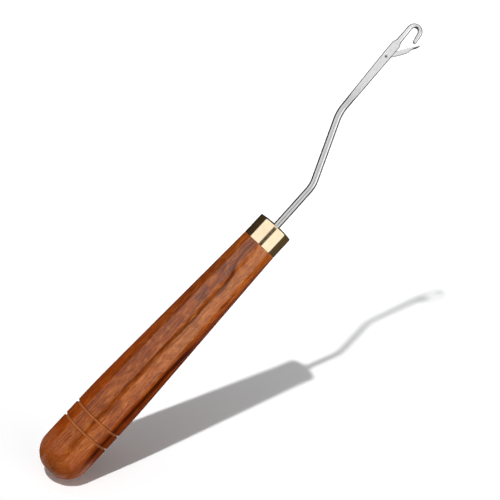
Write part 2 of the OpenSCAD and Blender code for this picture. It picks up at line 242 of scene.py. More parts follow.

# Mottles 6 mm long, flecks 3 mm long, a slanting shimmer painted in as a light sheen, streaks 17 mm long and
# fine lines 0.3 mm wide. The dark ones are fainter on the dome's tip, and the light ones along the handle's
# edges.
smooth_tip = add(rosewood, "MapRange", wood_x, -87, -76, 0.35, 1.0)
calm = add(rosewood, "MapRange", off_middle, 5.6, 4.2, 0.3, 1.0)
mottle = grain(rosewood, laid, (6.25, 2.63, 2.63), (0.3, 2.2, 0.0), 4.0, 0.6)
fleck = grain(rosewood, laid, (2.86, 1.25, 1.25), (0.0, 6.1, 0.0), rough=0.6)
colour = stain(rosewood, colour, "#6A300C", 0.5, add(rosewood, "MapRange", mottle, 0.55, 0.32), smooth_tip)
colour = stain(rosewood, colour, "#C07434", 0.5, add(rosewood, "MapRange", mottle, 0.52, 0.75), calm)
colour = stain(rosewood, colour, "#66300F", 0.4, add(rosewood, "MapRange", fleck, 0.50, 0.34), smooth_tip)
colour = stain(rosewood, colour, "#C27A3E", 0.42, add(rosewood, "MapRange", fleck, 0.52, 0.68), calm)
# The slanting shimmer is a painted sheen over the lower half near the ferrule.
slant = add(rosewood, "Math", wood_y, 0.9, wood_x, operation="MULTIPLY_ADD")
slow_y = add(rosewood, "Math", wood_y, 0.3, operation="MULTIPLY")
slanted = add(rosewood, "CombineXYZ", slant, slow_y, wood_z)
painted_sheen = grain(rosewood, slanted, (1.33, 1.0, 3.33), (0.0, 2.0, 7.0), 2.0)
painted_sheen = add(rosewood, "MapRange", painted_sheen, 0.46, 0.64)
colour = stain(rosewood, colour, "#CC804A", 0.32, patch((-52, -12), 8, (-4.6, -1.2), 0.8), painted_sheen)
streak = grain(rosewood, laid, (16.7, 0.77, 1.25), (0.0, 0.0, 4.0), 4.0, 0.6)
streak = add(rosewood, "MapRange", streak, 0.47, 0.30, interpolation_type="SMOOTHSTEP")
colour = stain(rosewood, colour, "#62270A", 0.65, streak)
fine = grain(rosewood, wood_at, (4.55, 0.3125, 0.3125), detail=4.0, rough=0.65)
colour = stain(rosewood, colour, "#5E230A", 0.62, add(rosewood, "MapRange", fine, 0.52, 0.28))
colour = stain(rosewood, colour, "#C47E44", 0.45, add(rosewood, "MapRange", fine, 0.52, 0.74), calm)
colour = stain(rosewood, colour, "#9C4E26", 0.45, add(rosewood, "MapRange", wood_x, -81, -86.5))

# The vein, broken in places and faint near the butt, and a thinner line 1.15 mm below it
off_vein = add(rosewood, "Math", lane, operation="ABSOLUTE")
vein = add(rosewood, "MapRange", off_vein, 0.9, 0.0, interpolation_type="SMOOTHSTEP")
breaks = grain(rosewood, laid, (11.1, 1.67, 2.5), (5.3, 0.0, 0.0))
breaks = add(rosewood, "MapRange", breaks, 0.36, 0.58, 0.2, 1.0)
breaks = add(rosewood, "Math", breaks, patch((-18, -11), 2.5, (-9, 9), 1), operation="MAXIMUM")
faint = add(rosewood, "MapRange", wood_x, -80, -62, 0.35, 1.0)
colour = stain(rosewood, colour, "#461604", 0.75, vein, breaks, faint)
off_second = add(rosewood, "Math", add(rosewood, "Math", lane, 1.15, operation="ADD"), operation="ABSOLUTE")
second = add(rosewood, "MapRange", off_second, 0.35, 0.05, interpolation_type="SMOOTHSTEP")
colour = stain(rosewood, colour, "#54200A", 0.4, second, patch((-42, -27), 5, (-9, 9), 1))

# Two grey smudges with smoky edges, and thin grey streaks near the ferrule
smoke = grain(rosewood, wood_at, (3.33, 1.11, 1.11), (0.0, 1.5, 0.0), 4.0, 0.6)
smoke = add(rosewood, "MapRange", smoke, 0.33, 0.56)
smudge = add(rosewood, "Math", patch((-19, -14), 2.5, (0.9, 1.7), 0.8), 0.5,
             patch((-25.5, -24), 3.6, (2.3, 2.9), 1.7), operation="MULTIPLY_ADD")
colour = stain(rosewood, colour, "#452A2A", 0.75, smudge, smoke)
thin = grain(rosewood, laid, (6.25, 0.278, 0.278), (2.0, 0.0, 0.0))
thin = add(rosewood, "MapRange", thin, 0.50, 0.40)
colour = stain(rosewood, colour, "#43282A", 0.65, thin, patch((-16, -6), 3, (0.9, 3.0), 0.7))

# A nearly black streak along the lower edge. Its line is an arch, 5.45 to 5.95 mm below the middle at its top
# and lower by the square of the distance from there.
from_top = add(rosewood, "Math", wood_x, 57.0, operation="ADD")
from_top = add(rosewood, "Math", from_top, 0.028, operation="MULTIPLY")
top = add(rosewood, "MapRange", wander, 0.3, 0.7, 5.45, 5.95)
arch = add(rosewood, "Math", from_top, from_top, top, operation="MULTIPLY_ADD")
off_arch = add(rosewood, "Math", add(rosewood, "Math", wood_y, arch, operation="ADD"), operation="ABSOLUTE")
edge_streak = add(rosewood, "MapRange", off_arch, 0.7, 0.2, interpolation_type="SMOOTHSTEP")
uneven = grain(rosewood, wood_at, (8.33, 0.385, 2.0), (0.0, 3.3, 0.0))
uneven = add(rosewood, "MapRange", uneven, 0.35, 0.6, 0.7, 1.0)
colour = stain(rosewood, colour, "#300A02", 0.95, edge_streak, uneven, patch((-78, -42), 9, (-9, -4), 1))

# Pores of 0.17 by 1.4 mm, and the paler wood of the rings
pores = grain(rosewood, wood_at, (1.43, 0.1667, 0.1667), detail=1.0)
pores = add(rosewood, "MapRange", pores, 0.60, 0.70)
colour = stain(rosewood, colour, "#3E1606", 0.5, pores)
cut = add(rosewood, "Attribute", out="Fac", attribute_name="bare")
colour = stain(rosewood, colour, "#B47448", 0.5, cut)
pitted = add(rosewood, "Math", pores, add(rosewood, "MapRange", fine, 0.50, 0.28), operation="ADD")
relief = add(rosewood, "Bump", {"Height": pitted, "Strength": 0.35, "Distance": 0.00003}, invert=True)

# The varnish is full near the ferrule, thinner towards the butt, and nearly gone in the rings and along the
# lower edge, where the hand rubs it.
rubbed = add(rosewood, "Math", cut, patch((-95, -50), 8, (-6.6, -5.0), 0.6), operation="MAXIMUM")
varnish = add(rosewood, "Math", add(rosewood, "MapRange", wood_x, -85, -30, 0.3, 0.95),
              add(rosewood, "MapRange", rubbed, 0, 1, 1.0, 0.1), operation="MULTIPLY")
wood_rough = add(rosewood, "MapRange", cut, 0, 1, 0.42, 0.6)
wood = add(rosewood, "BsdfPrincipled", {
    "Base Color": colour, "Roughness": wood_rough, "IOR": 1.5, "Specular IOR Level": 0.0, "Normal": relief,
    "Coat Weight": varnish, "Coat Roughness": 0.06, "Coat IOR": 1.5})
add(rosewood, "OutputMaterial", wood)
turned_handle.data.materials.append(rosewood)
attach(turned_handle, "tool")
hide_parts("handle")

# FERRULE
# A cap drawn from brass sheet, with a rounded edge, a crowned front and a hole for the wire. It is
# pressed on the tenon, flush with the wood, and polished.
edge_r, crown_h, hole_clear, lip_r = 0.35, 0.4, 0.08, 0.1
broken_edge = np.array([[0, -0.06], [0.02, -0.02], [0.07, 0]])
edge_x, edge_y = ferrule_front - edge_r, ferrule_r - edge_r
bore_r, hole_r = ferrule_r - ferrule_wall, wire_r + hole_clear
quarter = np.linspace(0, np.pi / 2, 13)
crown_r = np.linspace(edge_y, hole_r + lip_r, 24)[1:]
lip = np.linspace(0, np.pi / 2, 6)[1:]


def crown_x(r):
    """A parabola over the front face, highest at the middle."""
    return ferrule_front + crown_h * (1 - (r / edge_y) ** 2)


# From the broken edge at the back along the outside, over the rounded edge, the crown and the hole's lip, and
# back along the inside
cap_outline = np.concatenate([
    [[ferrule_back, bore_r]],
    broken_edge + [ferrule_back, ferrule_r],
    np.stack([np.linspace(ferrule_back + 0.4, edge_x - 0.3, 12), np.full(12, ferrule_r)], -1),
    np.stack([edge_x + edge_r * np.sin(quarter), edge_y + edge_r * np.cos(quarter)], -1),
    np.stack([crown_x(crown_r), crown_r], -1),
    np.stack([crown_x(hole_r + lip_r) - lip_r * (1 - np.cos(lip)), hole_r + lip_r * (1 - np.sin(lip))], -1),
    [[crown_x(hole_r) - ferrule_wall, hole_r]],
    np.stack([crown_x(crown_r[::-1]) - ferrule_wall, crown_r[::-1]], -1),
    [[ferrule_front - ferrule_wall, bore_r]]])
cap_grid = turn(cap_outline)


def tube(name, grid, marks=None):
    """A skin whose last ring joins its first, for a shape that is open through its middle."""
    piece = skin(name, np.concatenate([grid, grid[:1]]), [[0, 0, 0], [0, 0, 0]], marks)
    mesh = piece.data
    keep = len(mesh.vertices) - 2
    work = bmesh.new()
    work.from_mesh(mesh)
    work.verts.ensure_lookup_table()
    bmesh.ops.delete(work, geom=[work.verts[keep], work.verts[keep + 1]], context="VERTS")
    bmesh.ops.remove_doubles(work, verts=work.verts, dist=1e-8)
    work.to_mesh(mesh)
    work.free()
    mesh.set_sharp_from_angle(angle=np.radians(30))
    return piece


brass_ferrule = tube("brass_ferrule", cap_grid)

# Polished brass: pale gold and mirror-like, cloudy by a shade, with faint lines round it from the buffing
# wheel. They are drawn 0.11 mm apart, coarser than real ones, so that they show close up.
brass = new_material("polished_brass")
cap_at = on_piece(brass)
buff = grain(brass, cap_at, (1 / 9, 2.0, 2.0))
tarnish = grain(brass, cap_at, (10 / 3, 10 / 3, 10 / 3), detail=4.0)
brass_colour = add(brass, "ValToRGB", tarnish, stops=[(0.3, "#E6D0AE"), (0.55, "#EAD8B8"), (0.8, "#EDDCC0")])
brass_rough = add(brass, "MapRange", buff, 0.3, 0.7, 0.07, 0.13)
buffed = add(brass, "Bump", {"Height": buff, "Strength": 0.05, "Distance": 0.00001})
brass_body = add(brass, "BsdfPrincipled", {"Base Color": brass_colour, "Metallic": 1.0,
                                           "Roughness": brass_rough, "Normal": buffed})
add(brass, "OutputMaterial", brass_body)
brass_ferrule.data.materials.append(brass)
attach(brass_ferrule, "tool")
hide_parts("ferrule")

# SHANK
# One length of drawn steel wire: a straight tang in the handle, two bends, a blade ground flat on two
# sides and sawn with a slot from below, then a shoulder, the thin hook and its beard. Nickel plated.
neck_gap = 0.6
tang_end = ferrule_front - tang_len
neck_x = ferrule_front + crown_h + neck_gap
first_angle, crank_angle, blade_angle = np.radians([1.0, 22.9, 3.05])
first_run, crank_run = 14.65, 22.22
neck_bend_r, first_bend_r, second_bend_r = 20.0, 9.5, 12.5
neck_reach = neck_bend_r * np.tan(first_angle / 2)
first_reach = first_bend_r * np.tan((crank_angle - first_angle) / 2)
second_reach = second_bend_r * np.tan((crank_angle - blade_angle) / 2)
plain_run, flats_runout, flats_past_slot = 1.24, 4.0, 5.2
blade_t, blade_depth, nose_depth, nose_wall, shoulder_len = 1.4, 2.6, 2.64, 0.3, 1.6
hook_run, leg_d, hook_d, hook_r, hook_turn = 10.65, 1.6, 1.38, 1.66, np.radians(172)
beard_len, beard_d, tang_chamfer = 2.5, 1.1, 0.4

# The latch and its slot share sizes, so the latch's come with them.
latch_t, root_r, back_height, belly_depth, belly_from, belly_to = 0.5, 0.66, 0.58, 0.9, 4.2, 5.8
spoon_len, spoon_past, rim_height, spoon_depth, spoon_w = 2.45, 1.05, 0.3, 0.6, 1.3
cup_depth, cup_len, cup_half_w, closed_gap, latch_open = 0.2, 1.7, 0.45, 0.06, np.radians(5.8)
bend_end = np.array([hook_run, -hook_r]) + hook_r * np.array([np.sin(hook_turn), np.cos(hook_turn)])
beard_end = bend_end + beard_len * np.array([np.cos(hook_turn), -np.sin(hook_turn)])
line_to_beard = rim_height - cup_depth + closed_gap + beard_d / 2
closed_angle = np.arcsin(line_to_beard / np.hypot(*beard_end)) - np.arctan2(beard_end[1], beard_end[0])
cup_at = np.sqrt(np.hypot(*beard_end) ** 2 - line_to_beard ** 2)
latch_len = cup_at + spoon_past
spoon_from = latch_len - spoon_len
slot_w, slot_roof, slot_past = latch_t + 0.1, root_r + 0.08, 0.35
slot_back = spoon_from + slot_past
slot_front = (nose_depth / 2 + back_height / np.cos(closed_angle)) / np.tan(closed_angle) + slot_past
nose_run = slot_front + nose_wall
flats_full = slot_back + flats_past_slot
flats_back = flats_full + flats_runout
rivet_run = second_reach + plain_run + flats_back

# Each leg of the wire: its length and how far it turns
legs = np.array([
    [neck_x - neck_reach - tang_end, 0], [neck_bend_r * first_angle, first_angle],
    [first_run - neck_reach - first_reach, 0],
    [first_bend_r * (crank_angle - first_angle), crank_angle - first_angle],
    [crank_run - first_reach - second_reach, 0],
    [second_bend_r * (crank_angle - blade_angle), blade_angle - crank_angle],
    [rivet_run - second_reach + hook_run, 0], [hook_r * hook_turn, -hook_turn], [beard_len + beard_d, 0]])
leg_ends = legs[:, 0].cumsum()
leg_starts = leg_ends - legs[:, 0]
leg_headings = legs[:, 1].cumsum() - legs[:, 1]


def step(length, turned, heading):
    """How far a leg gets: the chord of its arc, at the heading half-way round."""
    chord = length * np.sinc(turned / 2 / np.pi)
    return np.stack([chord * np.cos(heading + turned / 2), chord * np.sin(heading + turned / 2)], -1)


corners = np.vstack([[0, 0], step(legs[:, 0], legs[:, 1], leg_headings).cumsum(0)]) + [tang_end, 0]


def wire(along):
    """Place and heading of the wire's centre line at distances along it from the tang's end."""
    leg = np.clip(np.searchsorted(leg_ends, along), 0, len(legs) - 1)
    part = along - leg_starts[leg]
    turned = legs[leg, 1] * part / legs[leg, 0]
    return corners[leg] + step(part, turned, leg_headings[leg]), leg_headings[leg] + turned


at_hook, at_beard = leg_ends[6], leg_ends[7]
at_rivet = at_hook - hook_run
beard_tip = at_beard + beard_len
round_end = np.linspace(0, np.radians(84), 12)[1:]
along = np.unique(np.round(np.concatenate([
    [0], np.linspace(tang_chamfer, leg_starts[1] - 1, 12), np.linspace(leg_starts[1] - 1, leg_starts[3], 30),
    np.linspace(leg_starts[3], leg_ends[3], 32), np.linspace(leg_ends[3], leg_starts[5], 24),
    np.linspace(leg_starts[5], leg_ends[5], 32), np.linspace(leg_ends[5], at_rivet + nose_run, 110),
    np.linspace(at_rivet + nose_run, at_rivet + nose_run + shoulder_len, 24),
    np.linspace(at_rivet + nose_run + shoulder_len, at_hook, 20), np.linspace(at_hook, at_beard, 90),
    np.linspace(at_beard, beard_tip, 16), beard_tip + beard_d / 2 * np.sin(round_end)]), 6))
past_rivet = along - at_rivet

# The section's radius goes from the round wire to half the blade's depth, down over the shoulder to the
# hook's leg, and on to the bend, the beard and its rounded end. The half thickness holds its reach to either
# side, and is more than the radius where the wire is left round.
wire_radius = np.interp(past_rivet, [-flats_back, 0, nose_run], [wire_r, blade_depth / 2, nose_depth / 2])
wire_radius += (leg_d - nose_depth) / 2 * ease((past_rivet - nose_run) / shoulder_len)
wire_radius -= np.interp(past_rivet, [nose_run + shoulder_len, hook_run], [0, (leg_d - hook_d) / 2])
wire_radius -= np.interp(along, [at_beard, beard_tip], [0, (hook_d - beard_d) / 2])
wire_radius *= np.sqrt(1 - np.clip((along - beard_tip) / (beard_d / 2), 0, 1) ** 2)
wire_radius[0] -= tang_chamfer
untouched, just_touched, leg_half = 1.6, wire_r * 1.03, 0.74
half_thick = np.interp(
    past_rivet, [-flats_back - 1.5, -flats_back, -flats_full, nose_run, nose_run + shoulder_len],
    [untouched, just_touched, blade_t / 2, blade_t / 2, leg_half])
crisp = 22


def sweep_wire(around):
    """Carries the wire's section along its line. The section is a circle, pressed flat where it would pass
    the half thickness: height over (1 + (height / half thickness) ^ crisp) ^ (1 / crisp), a soft edge."""
    angle = np.linspace(0, 2 * np.pi, around, endpoint=False)
    middle, heading = wire(along)
    out = np.outer(wire_radius, np.cos(angle))
    up = np.outer(wire_radius, np.sin(angle))
    up = up / (1 + np.abs(up / half_thick[:, None]) ** crisp) ** (1 / crisp)
    side = np.stack([-np.sin(heading), np.cos(heading)], -1)
    flat = middle[:, None] + out[..., None] * side[:, None]
    return np.concatenate([flat, up[..., None]], -1)


wire_ends = wire(np.array([0, beard_tip + beard_d / 2]))[0]
steel_shank = skin("steel_shank", sweep_wire(96), np.pad(wire_ends, ((0, 0), (0, 1))))
rivet_at, blade_heading = wire(np.array([at_rivet]))
rivet_at, blade_heading = rivet_at[0], blade_heading[0]


def set_at_rivet(points, heading):
    """Turns points by a heading in the plane of the tool and moves them from the origin to the rivet."""
    c, s = np.cos(heading), np.sin(heading)
    x, y, z = np.moveaxis(points, -1, 0)
    return np.stack([rivet_at[0] + c * x - s * y, rivet_at[1] + s * x + c * y, z], -1)


def box_rings(x, low, high, half_w):
    """Rings of four corners across X, from low to high and half_w to either side."""
    y = np.stack([high, low, low, high], -1)
    z = np.outer(np.ones(len(x)), [half_w, half_w, -half_w, -half_w])
    return np.stack([np.outer(x, np.ones(4)), y, z], -1)[:, ::-1]


# The slot's roof is flat over the latch's root, and a round saw ran out of it at both ends
roof_back, roof_front = 2.6, 0.5
drop = slot_roof + nose_depth / 2
slot_x = np.unique(np.concatenate([
    np.linspace(-slot_back, -roof_back, 24), np.linspace(roof_front, slot_front, 20)]))
runs = np.array([slot_back - roof_back, slot_front - roof_front])
saw = (runs ** 2 + drop ** 2) / (2 * drop)
past = np.stack([np.clip(-roof_back - slot_x, 0, None), np.clip(slot_x - roof_front, 0, None)])
roof = slot_roof - (saw[:, None] - np.sqrt(saw[:, None] ** 2 - past ** 2)).sum(0)
below_blade = np.full(len(slot_x), -2 * nose_depth)
slot_grid = set_at_rivet(box_rings(slot_x, below_blade, roof, slot_w / 2), blade_heading)
slot_cutter = skin("slot_cutter", slot_grid, slot_grid[[0, -1]].mean(1))

rivet_r, head_r, head_h, cheek_clear, latch_clear = 0.4, 0.55, 0.12, 0.01, 0.05
hole_outline = np.array([[-blade_t, head_r], [-blade_t / 2, head_r], [head_h - blade_t / 2, rivet_r]])
hole_outline = np.concatenate([hole_outline, hole_outline[::-1] * [-1, 1]]) + [0, cheek_clear]


def upright(points):
    """Takes a shape from the X axis to an upright axis through the rivet."""
    return set_at_rivet(np.roll(points, -1, axis=-1), 0)


def hole_cutter(name, outline):
    """A turned cutter that stands through the rivet's place."""
    ends = np.array([[outline[0, 0], 0, 0], [outline[-1, 0], 0, 0]])
    return skin(name, upright(turn(outline, 64)), upright(ends))


def cut_away(piece, *cutters):
    """Cuts the cutters out of a piece for good, and deletes them."""
    for cutter in cutters:
        modifier = piece.modifiers.new("cut", "BOOLEAN")
        modifier.operation, modifier.solver, modifier.object = "DIFFERENCE", "EXACT", cutter
    seen = piece.evaluated_get(bpy.context.evaluated_depsgraph_get())
    mesh = bpy.data.meshes.new_from_object(seen)
    piece.modifiers.clear()
    piece.data = mesh
    for cutter in cutters:
        bpy.data.objects.remove(cutter)
    mesh.set_sharp_from_angle(angle=np.radians(30))


cut_away(steel_shank, slot_cutter, hole_cutter("rivet_hole", hole_outline))

# Nickel plate on steel: drawn bright on the round wire, with lines along it, satin where the blade's flats
# were ground, and polished on the hook.
nickel = new_material("nickel_plate")
steel_at = on_piece(nickel)
steel_x, steel_y, steel_z = add(nickel, "SeparateXYZ", steel_at, out=slice(3))
steel_lay = add(nickel, "TexCoord", out="UV")

# The drawing die's lines: 2.5 mm long and sixty round the wire, fewer than real ones, so that they show
draw = grain(nickel, steel_lay, (0.0025, 1 / 60, 1.0))
wire_base = add(nickel, "ValToRGB", draw, stops=[(0.3, "#B4B4B5"), (0.7, "#C2C2C2")])

# The flats start at one place along X, are full at the next, and end in the shoulder at the last. What lies
# more than 0.024 mm below them is the rounded edge, which wasn't ground and is painted dark, as shade.
flat_places = wire(at_rivet + np.array([-flats_back, -flats_full, nose_run + 1.0]))[0]
runout_x, full_x, shoulder_x = flat_places[:, 0].tolist()
span_back = add(nickel, "MapRange", steel_x, runout_x - 1, full_x + 4, interpolation_type="SMOOTHSTEP")
span_front = add(nickel, "MapRange", steel_x, shoulder_x + 0.5, shoulder_x)
blade_span = add(nickel, "Math", span_back, span_front, operation="MULTIPLY")
flat_height = add(nickel, "MapRange", steel_x, runout_x, full_x, just_touched, blade_t / 2)
off_plane = add(nickel, "Math", steel_z, operation="ABSOLUTE")
below_flat = add(nickel, "Math", flat_height, off_plane, operation="SUBTRACT")
level = add(nickel, "MapRange", below_flat, 0.024, 0.008)
ground = add(nickel, "Math", level, blade_span, operation="MULTIPLY")
satin = grain(nickel, steel_at, (0.455, 0.455, 0.455), rough=0.6)
flat_base = add(nickel, "ValToRGB", satin, stops=[(0.32, "#DADADA"), (0.68, "#EEEEEE")])

# The hook is paler than the wire, and painted darker inside its bend, as shade. The cosine of the way
# round the section is -1 on the inside.
hookward = add(nickel, "MapRange", steel_x, shoulder_x - 1, shoulder_x)
way_round = add(nickel, "SeparateXYZ", steel_lay, out="Y")
way_round = add(nickel, "Math", way_round, 2 * np.pi, operation="MULTIPLY")
inner_shade = add(nickel, "MapRange", add(nickel, "Math", way_round, operation="COSINE"), -0.5, -0.85)
bend_shade_span = add(nickel, "MapRange", steel_x, 70.5, 71.8, 1.0, 0.1)
beard = add(nickel, "MapRange", steel_y, 8.6, 7.7)
edges = add(nickel, "MapRange", level, 1.0, 0.0)
past_runout = add(nickel, "MapRange", steel_x, full_x - 0.5, full_x + 2.5)
steel_base = stain(nickel, wire_base, "#DADADA", 1.0, hookward)
steel_base = add(nickel, "Mix", {0: ground, 6: steel_base, 7: flat_base}, out=2, data_type="RGBA")
# The blade's rounded edges are painted dark, as shade.
steel_base = stain(nickel, steel_base, "#58585C", 0.9, edges, blade_span, past_runout)
steel_base = stain(nickel, steel_base, "#C8C8CA", 1.0, beard, hookward)
# Painted shade inside the hook's bend.
steel_base = stain(nickel, steel_base, "#8A8A8C", 1.0, inner_shade, hookward, bend_shade_span)
bright = add(nickel, "MapRange", draw, 0.3, 0.7, 0.11, 0.17)
steel_rough = add(nickel, "Math", ground, 0.2, bright, operation="MULTIPLY_ADD")
drawn = add(nickel, "Bump", {"Height": draw, "Strength": 0.1, "Distance": 0.00001})
steel_body = add(nickel, "BsdfPrincipled", {"Base Color": steel_base, "Metallic": 1.0,
                                            "Roughness": steel_rough, "Normal": drawn})
add(nickel, "OutputMaterial", steel_body)
steel_shank.data.materials.clear()
steel_shank.data.materials.append(nickel)
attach(steel_shank, "tool")
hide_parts("shank")

# LATCH
# A flat steel blank, stamped with a round root and a belly, its tip swaged into a hollow spoon that
# takes the beard. It hangs loose on the rivet in the slot.
tip_round, edge_round = 0.3, 0.2
root_sweep = np.linspace(np.radians(6), np.pi / 2, 14)
tip_sweep = np.linspace(0, np.radians(86), 14)[1:]
latch_x = np.concatenate([
    -root_r * np.cos(root_sweep), np.linspace(0, spoon_from - 1, 50)[1:],
    np.linspace(spoon_from - 1, latch_len - tip_round, 60)[1:], latch_len - tip_round * np.cos(tip_sweep)])

# How high its back and how deep its belly lie off the line from the rivet to its tip: a half circle round the
# root, then heights joined by easing, and a rounded spoon. Its width swells from the blank's to the spoon's.
root_share = np.sqrt(np.clip(1 - (np.minimum(latch_x, 0) / root_r) ** 2, 0, 1))
back = ease((latch_x - spoon_from + spoon_len / 2.5) / (spoon_len / 1.4))
back = back_height + (rim_height - back_height) * back
back = np.where(latch_x < 0, root_r * root_share, back)
belly = root_r + (belly_depth - root_r) * ease(latch_x / belly_from)
belly += (spoon_depth - rim_height - belly_depth) * ease((latch_x - belly_to) / (spoon_from - belly_to))
spoon_back = spoon_depth * np.sqrt(np.clip(1 - ((latch_x - spoon_from) / spoon_len) ** 4, 0, 1)) - rim_height
belly = np.where(latch_x < 0, root_r * root_share, np.where(latch_x < spoon_from, belly, spoon_back))
widest = latch_len - spoon_len / 2
swell_from = spoon_from - spoon_len / 4
half_w = latch_t / 2 + (spoon_w - latch_t) / 2 * ease((latch_x - swell_from) / (widest - swell_from))
past_widest = (latch_x - widest) / (latch_len - widest)
half_w = np.where(latch_x < widest, half_w, spoon_w / 2 * np.sqrt(np.clip(1 - past_widest ** 2, 0, 1)))
flat_share = 1 - ease((latch_x - swell_from) / (widest - swell_from))


def latch_rings(around):
    """A section at each place along the latch: an oval on the spoon and, on the blank, a circle of the edge's
    radius carried round a box. A hollow is pressed into the spoon's back, deepest at its middle."""
    angle = np.linspace(0, 2 * np.pi, around, endpoint=False)
    c, s = np.cos(angle)[None], np.sin(angle)[None]
    high, tall = ((back - belly) / 2)[:, None], ((back + belly) / 2)[:, None]
    wide, flat = half_w[:, None], flat_share[:, None]
    rounding = np.minimum(edge_round, 0.9 * np.minimum(tall, wide))
    y = high + tall * c + flat * (tall - rounding) * (np.clip(4 * c, -1, 1) - c)
    z = wide * s + flat * (wide - rounding) * (np.clip(4 * s, -1, 1) - s)
    hollow = cup_depth * np.clip(1 - ((latch_x - cup_at) / (cup_len / 2)) ** 2, 0, 1)[:, None]
    y = y - hollow * np.clip(1 - (z / cup_half_w) ** 2, 0, 1) * (c > 0)
    return np.stack([np.outer(latch_x, np.ones(around)), y, z], -1)


latch_heading = blade_heading - closed_angle - latch_open
latch_grid = set_at_rivet(latch_rings(72), latch_heading)
latch_poles = np.array([[-root_r, 0, 0], [latch_len, (back[-1] - belly[-1]) / 2, 0]])
swing_latch = skin("swing_latch", latch_grid, set_at_rivet(latch_poles, latch_heading))
latch_hole = np.array([[-blade_t, rivet_r], [blade_t, rivet_r]]) + [0, latch_clear]
cut_away(swing_latch, hole_cutter("latch_hole", latch_hole))

# Nickel plate on a stamped face: satin like the blade, with painted shade along its belly and darker
# painted shade over the swaged spoon.
stamped = new_material("stamped_nickel")
latch_at = on_piece(stamped)
rivet_point = (*rivet_at.tolist(), 0.0)
from_rivet = add(stamped, "VectorMath", latch_at, rivet_point, out="Value", operation="DISTANCE")
spoon_start, spoon_full = spoon_from - 0.2, spoon_from + 0.8
# Painted shade over the spoon.
spoon_shade = add(stamped, "MapRange", from_rivet, spoon_start, spoon_full, interpolation_type="SMOOTHSTEP")
stamp = grain(stamped, latch_at, (1.11, 1 / 3, 1 / 3))
latch_base = add(stamped, "ValToRGB", stamp, stops=[(0.3, "#DCDCDB"), (0.7, "#E8E8E7")])
way_round = add(stamped, "SeparateXYZ", add(stamped, "TexCoord", out="UV"), out="Y")
way_round = add(stamped, "Math", way_round, 2 * np.pi, operation="MULTIPLY")
# Painted shade on the belly half of the latch's section.
belly_shade = add(stamped, "MapRange", add(stamped, "Math", way_round, operation="COSINE"), -0.15, -0.35)
latch_base = stain(stamped, latch_base, "#8C8C8E", 1.0, belly_shade)
latch_base = stain(stamped, latch_base, "#5C5C5E", 1.0, spoon_shade)
latch_rough = add(stamped, "MapRange", stamp, 0.3, 0.7, 0.3, 0.38)
stamp_bump = add(stamped, "Bump", {"Height": stamp, "Strength": 0.1, "Distance": 0.00001})
latch_body = add(stamped, "BsdfPrincipled", {"Base Color": latch_base, "Metallic": 1.0,
                                             "Roughness": latch_rough, "Normal": stamp_bump})
add(stamped, "OutputMaterial", latch_body)
swing_latch.data.materials.clear()
swing_latch.data.materials.append(stamped)
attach(swing_latch, "latch")
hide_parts("latch")

# RIVET
# A short steel pin through both cheeks of the blade and the latch's root. A punch staked its ends
# into the countersinks, which left a dimple in each.
stake_r, stake_depth, rim_proud, rim_edge = 0.33, 0.1, 0.004, 0.05
dimple = np.linspace(0, 1, 9)[1:]
rim_x = -blade_t / 2 - rim_proud
head = np.concatenate([
    np.stack([-blade_t / 2 + stake_depth * (1 - dimple ** 2), stake_r * dimple], -1),
    [[rim_x, stake_r + rim_edge], [rim_x, head_r - rim_edge], [-blade_t / 2, head_r],
     [head_h - blade_t / 2, rivet_r]]])
pin_outline = np.concatenate([head, head[::-1] * [-1, 1]])
dimple_bottom = blade_t / 2 - stake_depth
pin_poles = upright(np.array([[-dimple_bottom, 0, 0], [dimple_bottom, 0, 0]]))
staked_rivet = skin("staked_rivet", upright(turn(pin_outline, 64)), pin_poles)

# Plain steel wire: satin like the blade round it, its dimple painted dark as shade.
pin_steel = new_material("pin_steel")
pin_at = on_piece(pin_steel)
from_axis = add(pin_steel, "VectorMath", pin_at, rivet_point, operation="SUBTRACT")
from_axis = add(pin_steel, "VectorMath", from_axis, (1.0, 1.0, 0.0), operation="MULTIPLY")
from_axis = add(pin_steel, "VectorMath", from_axis, out="Value", operation="LENGTH")
shade_wobble = grain(pin_steel, pin_at, (0.2, 0.2, 0.2), detail=2.0)
uneven = add(pin_steel, "MapRange", shade_wobble, 0.3, 0.7, -0.04, 0.04)
# Painted shade in the staked dimple, with an uneven edge.
dimple_shade = add(pin_steel, "Math", from_axis, uneven, operation="ADD")
dimple_shade = add(pin_steel, "MapRange", dimple_shade, 0.4, 0.3)
pin_colour = stain(pin_steel, linear("#D8D8D8"), "#5E5E60", 1.0, dimple_shade)
pin_body = add(pin_steel, "BsdfPrincipled", {"Base Color": pin_colour, "Metallic": 1.0, "Roughness": 0.36})
add(pin_steel, "OutputMaterial", pin_body)
staked_rivet.data.materials.append(pin_steel)
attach(staked_rivet, "tool")
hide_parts("latch_rivet")

# FLOOR
# A plain white sheet that touches the butt and starts 9 mm above that point. As in the photo, the tool stands
# up from it on its butt and leans, so the sheet slopes away behind it and its shadow runs off to the right.
floor_normal = np.array([0.677, 0.469, 0.567])
floor_normal /= np.linalg.norm(floor_normal)
level_way = np.cross(floor_normal, [0, 0, 1]) / np.hypot(*floor_normal[:2])
down_way = np.cross(floor_normal, level_way)
wood_points = turn(wood_outline).reshape(-1, 3)
touch = wood_points[(wood_points @ floor_normal).argmin()] * MM
floor_lip = 0.009
floor_edge = touch - floor_lip * down_way


def sheet(name, corners_at, material):
    """A flat four-cornered stage piece."""
    mesh = bpy.data.meshes.new(name)
    mesh.from_pydata(corners_at, [], [(0, 1, 2, 3)])
    mesh.materials.append(material)
    piece = bpy.data.objects.new(name, mesh)
    bpy.context.scene.collection.objects.link(piece)
    return piece


def seen_ray(material):
    """1 for rays from the camera, from a glossy surface or through a clear one: the largest of the three."""
    rays = [add(material, "LightPath", out=f"Is {kind} Ray") for kind in ("Camera", "Glossy", "Transmission")]
    seen = add(material, "Math", *rays[:2], operation="MAXIMUM")
    return add(material, "Math", seen, rays[2], operation="MAXIMUM")


